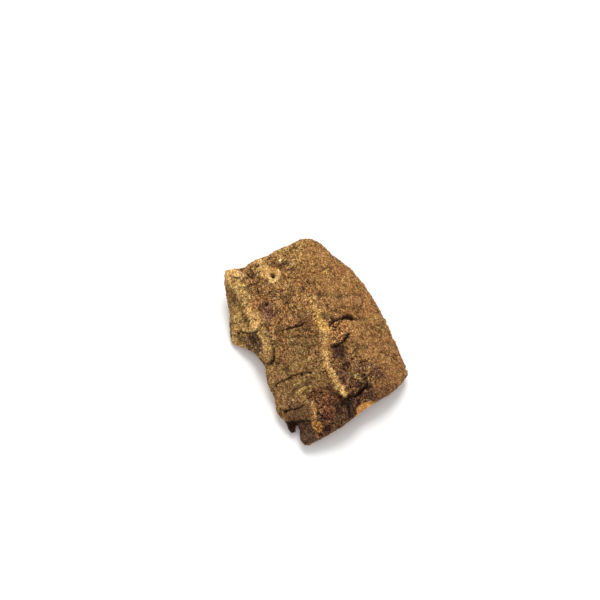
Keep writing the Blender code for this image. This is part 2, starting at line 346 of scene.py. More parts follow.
# ---------------------------------------------------------------- build the mesh
def ragged_outline():
    """The broken outline at fine steps, with the small chips and teeth of torn cork."""
    points = []
    closed = OUTLINE + OUTLINE[:1]
    for (ax, ay), (bx, by) in zip(closed[:-1], closed[1:]):
        steps = max(1, int(np.hypot(bx - ax, by - ay) / 1.2))
        for i in range(steps):
            points.append((lerp(ax, bx, i / steps), lerp(ay, by, i / steps)))
    p = np.array(points)
    # round the corners a little
    for _ in range(3):
        p = 0.5 * p + 0.25 * (np.roll(p, 1, 0) + np.roll(p, -1, 0))
    tangent = np.roll(p, -1, 0) - np.roll(p, 1, 0)
    out = np.stack([-tangent[:, 1], tangent[:, 0]], 1)
    out /= np.linalg.norm(out, axis=1)[:, None]
    q = np.column_stack([p, np.zeros(len(p))])
    chips = 0.9 * NOISE_A.layers(q, 11.0, 4) + 0.5 * NOISE_B.layers(q, 3.5, 2)
    return p + out * (chips + 0.5)[:, None]


def plate_mesh(voxel):
    loop = ragged_outline()
    curve = bpy.data.curves.new("outline", "CURVE")
    curve.dimensions = "2D"
    curve.fill_mode = "BOTH"
    curve.extrude = 0.5 * BARK_THICKNESS * MM
    spline = curve.splines.new("POLY")
    spline.points.add(len(loop) - 1)
    for point, (px, py) in zip(spline.points, loop):
        point.co = (px * MM, py * MM, 0.0, 1.0)
    spline.use_cyclic_u = True
    plate = bpy.data.objects.new("plate", curve)
    bpy.context.scene.collection.objects.link(plate)
    graph = bpy.context.evaluated_depsgraph_get()
    mesh = bpy.data.meshes.new_from_object(plate.evaluated_get(graph))
    bpy.data.objects.remove(plate, do_unlink=True)
    body = bpy.data.objects.new("body", mesh)
    bpy.context.scene.collection.objects.link(body)
    remesh = body.modifiers.new("even", "REMESH")
    remesh.mode = "VOXEL"
    remesh.voxel_size = voxel * MM
    graph = bpy.context.evaluated_depsgraph_get()
    mesh = bpy.data.meshes.new_from_object(body.evaluated_get(graph))
    bpy.data.objects.remove(body, do_unlink=True)
    return mesh


NOISE_A, NOISE_B, NOISE_C, NOISE_D = Noise(11), Noise(23), Noise(37), Noise(53)


def bark_fields(x, y, t, nx, ny, nz):
    """Everything that shapes and colours the bark, from the flat plate's coordinates in mm."""
    p = np.column_stack([x, y, t * BARK_THICKNESS])
    flat = np.column_stack([x, y, np.full(len(x), 3.0)])
    depth = depth_inside(x, y, OUTLINE)

    # ---- outer face
    warp = (
        1.6 * NOISE_A.layers(flat, 7.0, 4, 0.65),
        1.6 * NOISE_B.layers(flat, 7.0, 4, 0.65),
        NOISE_C.layers(flat, 5.0, 3),
        NOISE_D.layers(flat, 4.0, 2),
        0.9 * NOISE_A.layers(flat + 11, 3.2, 2),
        0.9 * NOISE_B.layers(flat + 11, 3.2, 2),
    )
    ragged_x, ragged_y = x + 1.5 * warp[0], y + 1.5 * warp[1]

    def zone(loop, soft, torn=1.0):
        return smooth(-soft, soft, depth_inside(x + torn * warp[0], y + torn * warp[1], loop))

    into_shed = depth_inside(x + 2.6 * warp[0], y + 2.6 * warp[1], SHED_LOOK)
    step = lerp(0.2, 1.0, smooth(-20.0, -14.0, x) * smooth(-83.0, -87.5, y)) * smooth(31.0, 27.0, x)
    shed = smooth(-0.5, lerp(6.5, 0.6, smooth(0.2, 0.8, step)), into_shed)
    # a dark line just inside the shed zone, under the ledge around it: a painted shadow of the ledge; the surface dips
    # there too
    step_line = step * smooth(-0.9, 0.0, into_shed) * smooth(2.3, 0.9, into_shed + 1.2 * warp[2]) * smooth(29.0, 20.0, x)
    scar = zone(FLAKE_SCAR, 1.4)
    speckled = zone(DARK_SPECKLED, 5.0, 3.5)
    hollow = zone(HOLLOW_LEFT, 3.0)
    cream = zone(CREAM, 1.4, 1.5)
    knot = zone(KNOT_CORE, 1.6, 1.6)
    lobe = zone(LOBE, 1.6)
    bulge = zone(BULGE, 2.4)
    corner = zone(CORNER, 1.2, 1.2)
    notch_hollow = zone(NOTCH_HOLLOW, 1.2)
    under_scar = zone(UNDER_SCAR, 2.5, 1.5)
    gold = zone(GOLD, 2.2, 1.5)
    blob = zone(GOLD_BLOB, 0.8, 1.0)
    streak = hump(line_fields(ragged_x, ragged_y, GOLD_STREAK)[0], 2.3)
    ridge_left = hump(line_fields(x, y, RIDGE_LEFT)[0], 8.0)
    high_line = line_fields(ragged_x, ragged_y, CREST_HIGH)
    low_line = line_fields(ragged_x, ragged_y, CREST_LOW)
    crest = np.maximum(hump(high_line[0], 6.4) * smooth(0.0, 14.0, high_line[2]), hump(low_line[0], 3.7))
    right = smooth(20.0, 42.0, x + 8 * warp[0]) * (1 - speckled)
    left_low = smooth(-12.0, -32.0, x) * smooth(-2.0, -30.0, y) * (1 - shed)
    flank = smooth(-64.0, -72.0, x) * smooth(8.0, 24.0, y)
    between = hump(line_fields(ragged_x, ragged_y, [(-60, 80), (-64, 64), (-67.5, 47)])[0], 4.0)

    rise = base_relief(x, y)
    rise -= 4.2 * shed
    rise -= 1.9 * scar
    rise -= 1.8 * hollow
    rise -= 3.2 * corner * (1 - shed)
    rise -= 2.6 * notch_hollow
    rise -= 1.7 * under_scar
    rise -= 0.9 * between
    rise += 1.6 * crest
    rise += 2.0 * lobe
    rise += 2.7 * bulge
    rise += 1.7 * step * np.exp(-np.abs(into_shed) / 5.0) * (into_shed < 0) - 1.3 * step_line
    rise += 0.8 * cream + 1.0 * knot
    rise += 0.9 * blob + 0.8 * streak
    for px, py, radius, _ in CHIPS:
        rise += 0.7 * hump(np.hypot(ragged_x - px, ragged_y - py), radius)

    into = depth_inside(x + 0.8 * warp[0], y + 0.8 * warp[1], BARE_EDGE)
    bare = smooth(-0.8, 1.4, into)
    cracks, cut, pits = crack_fields(x, y, warp)
    rise += cracks * (1 - 0.8 * bare)
    # the notch hollow is painted dark as the shade in it, and the line under the shed's ledge as the ledge's shadow;
    # under the scar the bark is darker
    dark = np.maximum(np.maximum(0.9 * notch_hollow, 0.55 * under_scar), step_line * (0.6 + 0.4 * smooth(-0.5, 0.1, warp[3])))

    smoothness = np.clip(0.60 * right + 0.52 * left_low + 0.40 * ridge_left + 0.30 * flank, 0.0, 0.68)
    roughness = (1.0 - smoothness) * (1.0 + 0.9 * speckled + 0.9 * shed + 0.4 * scar + 0.5 * hollow)

    roughness = roughness * (1.0 - 0.5 * hump(low_line[0], 3.6))

    # layers of old cork, broken off along ragged ledges
    broad = NOISE_A.layers(np.column_stack([x + 2 * warp[0], 0.72 * y + 2 * warp[1], flat[:, 2] + 9]), 21.0, 5, 0.6)
    plates, part = stair(4.6 * broad, 0.12)
    # painted shade at the base of each ledge, painted highlight along its upper edge
    painted_foot_shade = smooth(0.74, 0.97, part)
    painted_lip_highlight = smooth(0.02, 0.12, part) * smooth(0.36, 0.16, part)
    finer = NOISE_B.layers(np.column_stack([x, 0.8 * y, flat[:, 2] + 23]), 8.5, 4, 0.62)
    small, small_part = stair(3.6 * finer, 0.15)
    # the same painted shade and highlight for the smaller ledges
    painted_small_foot_shade = smooth(0.70, 0.97, small_part)
    painted_small_lip_highlight = smooth(0.02, 0.15, small_part) * smooth(0.45, 0.2, small_part)
    flake = (0.618034 * np.floor(4.6 * broad)) % 1.0 - 0.5 + 0.9 * ((0.618034 * np.floor(3.6 * finer) + 0.37) % 1.0 - 0.5)
    ledge = lerp(0.35, 1.0, smooth(-0.25, 0.25, NOISE_C(flat + 70, 26.0))) * (1 - 0.45 * right)

    # fissures: short wandering lines
    def fissures(size, width, shift, low, across=1.0):
        q = np.column_stack([across * x + warp[0], 0.8 * y + warp[1], flat[:, 2] + shift])
        line = smooth(width, 0.0, np.abs(NOISE_C.layers(q, size, 3, 0.55)))
        return line * smooth(low, low + 0.22, NOISE_D.layers(q + 60, 1.1 * size, 2))

    split = fissures(17.0, 0.050, 31.0, -0.06)
    hair = np.maximum(fissures(8.5, 0.085, 77.0, -0.05), fissures(9.0, 0.10, 118.0, -0.10, 0.45))

    # grain, pores and crumbs
    grain = NOISE_B.ridged(np.column_stack([x, y * 0.42, flat[:, 2]]), 4.4, 3)
    crumbs = NOISE_C.layers(flat, 3.4, 3, 0.7)
    lumps = NOISE_A.layers(flat, (13.0, 20.0, 13.0), 3)
    clusters = smooth(-0.12, 0.3, NOISE_D.layers(flat + 33, 15.0, 3))
    k1, k2, kown, kx, ky = cells(x + 0.8 * warp[0], y + 0.8 * warp[1], (2.3, 2.9), 15, 1.0)
    flecks = smooth(0.5, 0.15, k1) * (kown[:, 0] > 0.66) * lerp(0.25, 1.0, clusters)
    holes = smooth(0.5, 0.15, k1) * (kown[:, 1] > 0.72) * lerp(1.0, 0.2, clusters)
    micro = (0.35 + 0.75 * roughness) * ledge * 1.5 * (plates - 2.3 * broad)
    micro += (0.30 + 0.70 * roughness) * 0.9 * (small - 1.8 * finer)
    micro += (0.28 + 0.34 * roughness) * grain
    micro += (0.18 + 0.38 * roughness) * crumbs
    micro += 0.45 * flecks * (0.5 + 0.5 * roughness)
    micro -= 0.7 * holes * (0.5 + 0.5 * roughness)
    micro -= split * (0.5 + 0.9 * roughness) + 0.75 * hair * (0.4 + 0.6 * roughness)
    rise += 0.9 * lumps * (0.6 + 0.4 * roughness) + micro
    level = np.clip(roughness, 0.0, 1.2)
    # painted shade in the low places of the relief and painted highlight on its high places, plus a random tone for
    # each flake; paint() darkens or lightens the colour by it
    flake_tone_and_painted_shade = 0.12 * flake - 0.08 * grain + 0.58 * painted_foot_shade * ledge * (0.3 + 0.7 * level) + 0.42 * painted_small_foot_shade * (0.5 + 0.5 * level)
    flake_tone_and_painted_shade -= 0.22 * painted_lip_highlight * ledge * (0.3 + 0.7 * level) + 0.24 * painted_small_lip_highlight
    flake_tone_and_painted_shade -= (0.34 + 0.14 * level) * crumbs * (1 - 0.8 * bare) * (1 - 0.6 * knot) * (1 - 0.3 * ridge_left)
    flake_tone_and_painted_shade *= (1 - 0.45 * ridge_left) * (1 - 0.3 * knot)
    # a painted highlight along both sides of each fissure
    painted_rim_highlight = np.clip(1.0 - np.abs(split - 0.25) * 4.0, 0.0, 1.0) + np.clip(1.0 - np.abs(hair - 0.25) * 4.0, 0.0, 1.0)
    flake_tone_and_painted_shade -= 0.16 * painted_rim_highlight
    # fissures are painted dark, partly as dark bark and partly as painted shade in them; pin holes are painted dark as
    # the shade in them
    dark = np.maximum(dark, 0.92 * split * (0.62 + 0.35 * level))
    dark = np.maximum(dark, 0.85 * hair * (0.6 + 0.3 * level))
    dark = np.maximum(dark, 0.66 * holes * (0.65 + 0.35 * level))
    whole = (1 - 0.75 * blob) * (1 - 0.5 * gold) * (1 - 0.6 * knot) * (1 - 0.6 * cream) * (1 - 0.9 * bare)
    dark = np.maximum(pits, np.maximum(dark * whole, cut * (1 - 0.9 * bare)))

    # the rim is worn and broken into small chips
    chipping = NOISE_D.layers(flat, 9.0, 3)
    rise -= (1.4 + 1.6 * smooth(0.1, 0.6, chipping)) * (1.0 - smooth(0.0, 4.5 + 3.0 * chipping, depth))
    # along part of the near edge the crust is gone and the cut cork slopes outward
    rise -= 0.95 * np.clip(into, 0.0, 7.5) + 0.7 * bare * micro

    # ---- inner face
    long_p = np.column_stack([x, y * 0.11, flat[:, 2] + 40])
    strands = NOISE_A.layers(long_p, 3.0, 3, 0.6)
    wide_p = np.column_stack([x, y * 0.3, flat[:, 2] + 80])
    inner = 0.7 * NOISE_B.layers(flat + 50, 26.0, 2)
    inner += 0.35 * strands + 0.35 * NOISE_C.layers(wide_p, 8.0, 2)
    q1, q2, qown, qx, qy = cells(x, y, (5.0, 7.0), 21)
    pore = smooth(0.34, 0.1, np.hypot(qx * 0.9, qy * 2.6)) * (qown[:, 0] > 0.62)
    inner += 0.55 * pore
    inner += 0.12 * crumbs
    inner += (0.8 + 0.9 * smooth(0.0, 0.5, chipping)) * (1.0 - smooth(0.0, 4.0, depth))

    # ---- broken sides
    side = smooth(0.35, 0.85, np.hypot(nx, ny))
    lay = t * BARK_THICKNESS
    bands = NOISE_D(np.column_stack([x * 0.12, y * 0.12, lay]), (6.0, 6.0, 1.6))
    tear = NOISE_A.layers(p + 7.0, 5.0, 4, 0.6)
    granules = NOISE_C.layers(p + 3.0, 1.9, 2)
    crust = smooth(0.70, 0.86, t)
    year = lay / 2.3 + 0.35 * NOISE_B(np.column_stack([x, y, lay * 2.0]), 22.0) + 0.12 * tear
    rings = smooth(0.72, 0.98, np.abs(2.0 * (year - np.floor(year)) - 1.0)) * smooth(-0.25, 0.2, NOISE_C.layers(p + 51.0, 9.0, 2))
    push = 1.3 * tear + 0.45 * bands + 0.35 * granules + 0.7 * crust - 0.5 - 0.35 * rings

    return dict(
        rise=rise, inner=inner, side=side, push=push, dark=dark, shed=shed, scar=scar, speckled=speckled, hollow=hollow,
        cream=cream, knot=knot, lobe=lobe, bulge=bulge, corner=corner, under_scar=under_scar, gold=gold, blob=blob,
        calm=np.clip(0.7 * bare + 0.35 * blob + 0.4 * knot + 0.3 * cream + 0.2 * np.maximum(ridge_left, flank) + 0.2 * crest - 0.5 * np.maximum(corner, hollow), -0.5, 1.0),
        streak=streak, between=between, zone=zone, at=(ragged_x, ragged_y),
        ridge_left=ridge_left, crest=crest, low_crest=hump(low_line[0], 3.3), right=right, left_low=left_low, flank=flank,
        rough=roughness, small=small, plates=plates, crumbs=crumbs, grain=grain, flecks=flecks, lumps=lumps, pore=pore,
        strands=strands, bands=bands, micro=micro, flake_tone_and_painted_shade=flake_tone_and_painted_shade, clusters=clusters, bare=bare, rings=rings, tear=tear, granules=granules, crust=crust, depth=depth, warp=warp, chipping=chipping,
    )


def paint(x, y, t, f):
    """Colour of the surface at each point, in linear light, before the fine speckle of the material."""
    n = len(x)
    noise = f["lumps"]
    fine = f["crumbs"]
    colour = np.tile(srgb(142, 103, 61), (n, 1))

    def wash(target, amount):
        nonlocal colour
        amount = np.clip(amount, 0.0, 1.0)[:, None]
        colour = colour * (1 - amount) + target * amount

    place = np.column_stack([x, y, np.full(n, 3.0)])
    cast = NOISE_B.layers(place + 140, 24.0, 4, 0.6)
    wash(srgb(150, 110, 66), smooth(60.0, 100.0, y))
    wash(srgb(136, 96, 57), 0.9 * f["right"])
    wash(srgb(132, 94, 57), 0.8 * f["right"] * smooth(-40.0, -75.0, y))
    wash(srgb(124, 90, 55), smooth(0.0, 0.5, -noise) * 0.6 * (1 - f["right"]))
    wash(srgb(166, 126, 78), smooth(0.05, 0.55, noise) * 0.45)
    wash(srgb(122, 89, 54), 0.8 * hump(np.hypot((x + 14) * 0.9, (y + 12) * 0.6), 20.0))
    valley = hump(line_fields(x, y, FURROW_LEFT)[0], 13.0)
    wash(srgb(143, 102, 64), 0.6 * valley)
    wash(srgb(209, 171, 113), 0.88 * f["ridge_left"] * smooth(-14.0, 8.0, y))
    wash(srgb(170, 135, 86), 0.9 * f["flank"])
    wash(srgb(125, 95, 59), 0.8 * f["left_low"])
    wash(srgb(120, 112, 60), 0.30 * smooth(0.12, 0.5, cast))
    wash(srgb(122, 76, 58), 0.40 * smooth(0.12, 0.5, -cast))
    for loop, soft, shade, strength in PATCHES:
        wash(srgb(*shade), strength * f["zone"](loop, soft, 2.2) * smooth(-0.9, -0.1, fine + 0.4 * noise))
    # the groove between the ridge and the bulge is darker: painted shade in the groove
    wash(srgb(128, 97, 60), 0.55 * f["between"])
    wash(srgb(110, 78, 52), 0.8 * f["hollow"])
    # near-black blotches in the hollow by the lobe: painted deep shade
    wash(srgb(62, 38, 34), 0.85 * f["hollow"] * smooth(-0.1, 0.25, -fine - 0.4 * noise) * smooth(-78.0, -70.0, x))
    wash(srgb(146, 112, 76), 0.8 * f["hollow"] * smooth(0.1, 0.35, fine + 0.3 * noise))
    wash(srgb(176, 140, 86), 0.7 * f["bulge"])
    wash(srgb(170, 136, 86), 0.8 * f["lobe"])
    wash(srgb(192, 156, 106), 0.95 * f["cream"] * smooth(-0.5, -0.1, fine))
    wash(srgb(182, 144, 93), 0.95 * f["knot"] * smooth(-0.75, -0.25, fine))
    wash(srgb(222, 186, 132), 0.65 * f["knot"] * hump(np.hypot(x + 13.3, y - 84.0) - 5.0, 3.0))
    worn = 1.0 - 0.6 * hump(y + 24.0, 11.0)
    wash(srgb(182, 142, 90), 0.8 * f["crest"] * worn)
    wash(srgb(208, 168, 114), 0.75 * f["low_crest"] * worn * (1 - 0.55 * smooth(-81.0, -88.0, y)) * smooth(-0.5, 0.0, fine))
    wash(srgb(198, 151, 84), 0.85 * f["gold"] * smooth(-0.6, 0.0, fine))
    wash(srgb(168, 119, 72), 0.75 * f["scar"])
    wash(srgb(98, 62, 42), 0.6 * f["scar"] * smooth(0.08, 0.32, -fine))
    wash(srgb(196, 154, 102), 0.55 * f["scar"] * smooth(0.2, 0.4, fine))
    wash(srgb(105, 70, 46), 0.9 * f["speckled"] * smooth(-0.35, 0.25, -fine - 0.6 * noise + 0.15))
    wash(srgb(74, 48, 42), 0.8 * f["under_scar"])
    for px, py, radius in ((5.0, -66.5, 4.6), (26.0, -66.5, 4.4), (44.5, -82.0, 4.6), (13.0, -36.0, 3.6), (14.0, -78.0, 3.4)):
        wash(srgb(80, 44, 46), 0.7 * hump(np.hypot(f["at"][0] - px, 0.7 * (f["at"][1] - py)), radius) * smooth(-0.55, 0.05, -fine))
    strip = hump(line_fields(*f["at"], [(14.6, -66), (18.7, -75.6), (21, -84)])[0], 3.4)
    wash(srgb(146, 112, 66), 0.6 * strip)
    wash(srgb(107, 68, 43), 0.95 * f["shed"])
    wash(srgb(124, 70, 44), 0.5 * f["shed"] * smooth(0.1, 0.4, cast + 0.5 * fine))
    wash(srgb(144, 96, 56), 0.75 * f["shed"] * smooth(-0.3, 0.2, fine + 0.3 * noise) * hump(np.hypot((x + 27) * 0.9, (y + 76) * 0.9), 17.0))
    wash(srgb(66, 42, 34), 0.8 * f["shed"] * smooth(0.0, 0.4, -noise - 0.4 * fine))
    wash(srgb(88, 56, 39), 0.6 * f["shed"] * smooth(-22.0, -12.0, x))
    wash(srgb(172, 126, 72), 0.55 * f["shed"] * smooth(-12.0, -4.0, x) * smooth(0.12, 0.32, fine))
    wash(srgb(118, 54, 38), 0.55 * hump(line_fields(*f["at"], [(-28, -84), (-31, -97), (-36, -104)])[0], 3.2) * smooth(-0.5, 0.1, fine))
    wash(srgb(62, 52, 28), 0.7 * hump(line_fields(*f["at"], [(-19, -91), (-22, -101), (-28, -112)])[0], 2.6))
    wash(srgb(56, 36, 32), 0.8 * hump(line_fields(*f["at"], [(-3, -97), (-7, -104), (-11, -112)])[0], 3.0))
    wash(srgb(58, 37, 32), 0.45 * f["zone"]([(-20, -87.5), (-13, -91), (-6, -94.5), (-9, -103), (-16, -101), (-23, -96)], 2.0, 1.5))
    wash(srgb(84, 57, 46), 0.9 * f["corner"])
    wash(srgb(176, 133, 82), 0.95 * f["streak"] * smooth(-0.5, 0.0, fine))
    wash(srgb(186, 132, 70), 0.95 * f["blob"] * smooth(-0.75, -0.25, fine))
    for px, py, radius, shade in CHIPS:
        wash(srgb(*shade), 0.9 * hump(np.hypot(f["at"][0] - px, f["at"][1] - py), radius))
    wash(srgb(165, 84, 62), 0.6 * hump(np.hypot(x + 51, y - 63), 3.0))
    wash(srgb(165, 84, 62), 0.5 * hump(np.hypot(x + 45, y - 66), 2.0))

    gain = 1.0 - np.clip(f["flake_tone_and_painted_shade"], -0.6, 0.7)
    gain = gain * (1.0 + 0.55 * f["flecks"] * lerp(0.5, 1.0, f["clusters"]) * np.clip(0.5 + 0.5 * f["rough"], 0.0, 1.6))
    # where the painted shade of the relief darkens the colour it goes redder; where the painted highlight or a pale
    # fleck lightens it, it goes greyer
    colour = colour * gain[:, None] ** np.array([1.0, 1.35, 1.8])
    middle = smooth(20.0, 45.0, y) * smooth(40.0, 24.0, x) * smooth(-60.0, -50.0, x)
    colour = colour * (1.0 + 0.10 * middle - 0.24 * smooth(-90.0, -102.0, y))[:, None]
    wash(srgb(202, 146, 84) * (1 + 0.30 * f["granules"][:, None] - 0.20 * f["tear"][:, None]), 0.92 * f["bare"])
    wash(srgb(128, 76, 44), 0.6 * f["bare"] * smooth(0.1, 0.4, f["tear"] + 0.4 * fine) * smooth(10.0, -2.0, x))

    # cork seen in the broken sides
    side = f["side"] * (1 - smooth(0.88, 0.98, t)) * smooth(0.02, 0.10, t)
    cork = np.tile(srgb(176, 126, 76), (n, 1))
    aged = smooth(-0.25, 0.35, f["tear"] + 0.5 * f["chipping"])[:, None]
    cork = cork * aged + srgb(122, 86, 56) * (1 - aged)
    stripe = smooth(0.15, 0.6, f["bands"])[:, None]
    cork = cork * (1 - 0.45 * stripe) + srgb(96, 62, 40) * 0.45 * stripe
    fresh = smooth(-10.0, 0.0, x) * smooth(30.0, 20.0, x) * smooth(-100.0, -106.0, y)
    fresh = np.maximum(fresh, 0.75 * smooth(108.0, 113.0, y) * smooth(-0.3, 0.3, noise + 0.1))[:, None]
    light = np.tile(srgb(222, 164, 96), (n, 1)) * (1 + 0.16 * f["granules"][:, None])
    cork = cork * (1 - fresh) + light * fresh
    # old breaks are weathered dark, most of all near the outer face
    old = np.maximum(smooth(2.0, -8.0, x) * smooth(-92.0, -99.0, y), 0.6 * smooth(26.0, 34.0, x) * smooth(-84.0, -92.0, y))
    old = np.maximum(old, smooth(-64.0, -70.0, x) * smooth(-74.0, -82.0, y))
    old = (old * lerp(0.4, 0.9, smooth(0.1, 0.45, t)))[:, None]
    cork = cork * (1 - old) + srgb(86, 58, 44) * (1 + 0.25 * f["granules"][:, None]) * old
    cork = cork * (1 - 0.5 * f["rings"][:, None] * np.array([0.8, 0.95, 1.1]))
    colour = colour * (1 - side[:, None]) + cork * side[:, None]

    # inner face
    under = smooth(0.12, 0.02, t) * (1 - f["side"])
    belly = np.tile(srgb(176, 126, 78), (n, 1))
    patchy = smooth(-0.05, 0.4, NOISE_B.layers(np.column_stack([x, y * 0.5, t + 90]), 34.0, 3))[:, None]
    belly = belly * (1 - 0.75 * patchy) + srgb(116, 80, 54) * 0.75 * patchy
    belly = belly * (1 + 0.22 * f["strands"][:, None])
    belly = belly * (1 - 0.35 * f["pore"][:, None])
    colour = colour * (1 - under[:, None]) + belly * under[:, None]

    colour = colour * np.array([1.17, 1.063, 0.805])
    # the dark field, near-black in cracks, pits, fissures, holes, the notch hollow and under the shed's ledge: partly
    # dark bark, partly painted shade in these hollows
    top = smooth(0.55, 0.9, t)
    deposit_and_painted_shade = (f["dark"] * top)[:, None]
    colour = colour * (1 - deposit_and_painted_shade) + srgb(30, 12, 5) * deposit_and_painted_shade
    return np.clip(colour, 0.0, 1.0)


def build_bark(voxel, most_faces):
    mesh = plate_mesh(voxel)
    count = len(mesh.vertices)
    flat = np.empty(count * 3)
    mesh.vertices.foreach_get("co", flat)
    x, y, z = (flat.reshape(-1, 3) / MM).T
    normal = np.empty(count * 3)
    mesh.vertex_normals.foreach_get("vector", normal)
    nx, ny, nz = normal.reshape(-1, 3).T
    t = np.clip(z / BARK_THICKNESS + 0.5, 0.0, 1.0)
    f = bark_fields(x, y, t, nx, ny, nz)

    weight = np.clip((t - 0.45) / 0.55, 0.0, 1.0)
    low = base_relief(x, y) - 4.2 * f["shed"]
    offset = low * t + (f["rise"] - low) * weight + (1.0 - t) * (-BARK_THICKNESS) + f["inner"] * np.clip(1.0 - 2.0 * t, 0.0, 1.0)
    spread = f["push"] * f["side"]
    x1 = x + nx * spread
    y1 = y + ny * spread
    lean = np.clip(x1 / OUTER_RADIUS, -0.8, 0.8)
    drop = OUTER_RADIUS * (np.sqrt(1.0 - lean**2) - 1.0)
    lift = np.sqrt(1.0 - lean**2)
    bent = np.stack(
        [
            x1 + lean * offset,
            y1 - MIDDLE_Y,
            CROWN_HEIGHT + drop + lift * offset + LEAN_PER_MM * (y1 - LEAN_FROM_Y) + ROLL_PER_MM * x1,
        ],
        axis=1,
    )
    bent[:, 2] = np.maximum(bent[:, 2], 0.0)
    mesh.vertices.foreach_set("co", (bent * MM).ravel())

    colour = paint(x, y, t, f)
    fields = {
        "bark_flat": ("FLOAT_VECTOR", "vector", np.column_stack([x, y, t * BARK_THICKNESS]) * MM),
        "bark_colour": ("FLOAT_COLOR", "color", np.column_stack([colour, np.ones(count)])),
        "bark_rough": ("FLOAT", "value", (np.clip(f["rough"] / 1.8, 0, 1) * (1 - f["calm"]) - 0.45 * f["calm"]) * smooth(0.5, 0.9, t)),
        "bark_dark": ("FLOAT", "value", f["dark"] * smooth(0.55, 0.9, t)),
        "bark_side": ("FLOAT", "value", f["side"] * (1 - smooth(0.9, 1.0, t))),
        "bark_under": ("FLOAT", "value", smooth(0.12, 0.02, t) * (1 - f["side"])),
    }
    for name, (kind, field, values) in fields.items():
        layer = mesh.attributes.new(name, kind, "POINT")
        layer.data.foreach_set(field, np.ascontiguousarray(values, dtype=np.float32).ravel())
    mesh.update()

    slab = bpy.data.objects.new("bark_slab", mesh)
    bpy.context.scene.collection.objects.link(slab)
    triangles = sum(len(p.vertices) - 2 for p in mesh.polygons)
    if triangles > most_faces:
        thin = slab.modifiers.new("thin", "DECIMATE")
        thin.ratio = most_faces / triangles
        graph = bpy.context.evaluated_depsgraph_get()
        thinned = bpy.data.meshes.new_from_object(slab.evaluated_get(graph), preserve_all_data_layers=True, depsgraph=graph)
        slab.modifiers.clear()
        slab.data = thinned
    slab.data.polygons.foreach_set("use_smooth", np.ones(len(slab.data.polygons), bool))
    slab.data.update()
    print("bark faces", triangles, "->", len(slab.data.polygons), [a.name for a in slab.data.attributes])
    return slab


def even_out(points, middle, flat_area, solid_area, low, high, cell=0.75):
    """Moves flat points inside a rectangle so that steep, cracked and rough places get map space to match their area.

    The bark's area per flat area is pushed to an even density: the flow runs down the slope of a potential whose
    Laplacian is the excess, and no point crosses another or leaves the rectangle."""
    size = np.ceil((high - low) / cell).astype(int)
    spot = (middle - low) / cell - 0.5
    whole = np.floor(spot).astype(int)
    part = spot - whole
    sums = np.zeros((2, size[0] + 2, size[1] + 2))
    for i in (0, 1):
        for j in (0, 1):
            share = np.abs(1 - i - part[:, 0]) * np.abs(1 - j - part[:, 1])
            for k, area in enumerate((solid_area, flat_area)):
                np.add.at(sums[k], (whole[:, 0] + i + 1, whole[:, 1] + j + 1), area * share)
    for _ in range(2):
        for axis in (1, 2):
            sums = 0.5 * sums + 0.25 * (np.roll(sums, 1, axis) + np.roll(sums, -1, axis))
    solid, covered = sums[:, 1:-1, 1:-1]
    inside = np.clip(covered / (0.5 * cell * cell), 0.0, 1.0)
    ratio = np.clip(solid / np.maximum(covered, 1e-6), 1.0, 6.0)
    typical = np.sum(ratio * inside) / np.sum(inside)
    density = lerp(0.6 * typical, ratio, inside)
    density /= density.mean()
    excess = density - 1.0
    whole_field = np.block([[excess, excess[:, ::-1]], [excess[::-1], excess[::-1, ::-1]]])
    kx, ky = (2 - 2 * np.cos(2 * np.pi * np.fft.fftfreq(n)) for n in whole_field.shape)
    stiff = (kx[:, None] + ky[None, :]) / cell**2
    stiff[0, 0] = 1.0
    wave = -np.fft.fft2(whole_field) / stiff
    wave[0, 0] = 0.0
    slope = np.gradient(np.fft.ifft2(wave).real[: size[0], : size[1]], cell)
    moved = points.copy()
    steps = 40
    for step in range(steps):
        now = lerp(density, 1.0, (step + 0.5) / steps)
        spot = np.clip((moved - low) / cell - 0.5, 0.0, size - 1.001)
        whole = spot.astype(int)
        part = spot - whole
        speed = np.zeros_like(moved)
        for i in (0, 1):
            for j in (0, 1):
                share = np.abs(1 - i - part[:, 0]) * np.abs(1 - j - part[:, 1])
                at = (whole[:, 0] + i, whole[:, 1] + j)
                for k in (0, 1):
                    speed[:, k] += share * slope[k][at] / now[at]
        moved = np.clip(moved + speed / steps, low, high)
    return moved


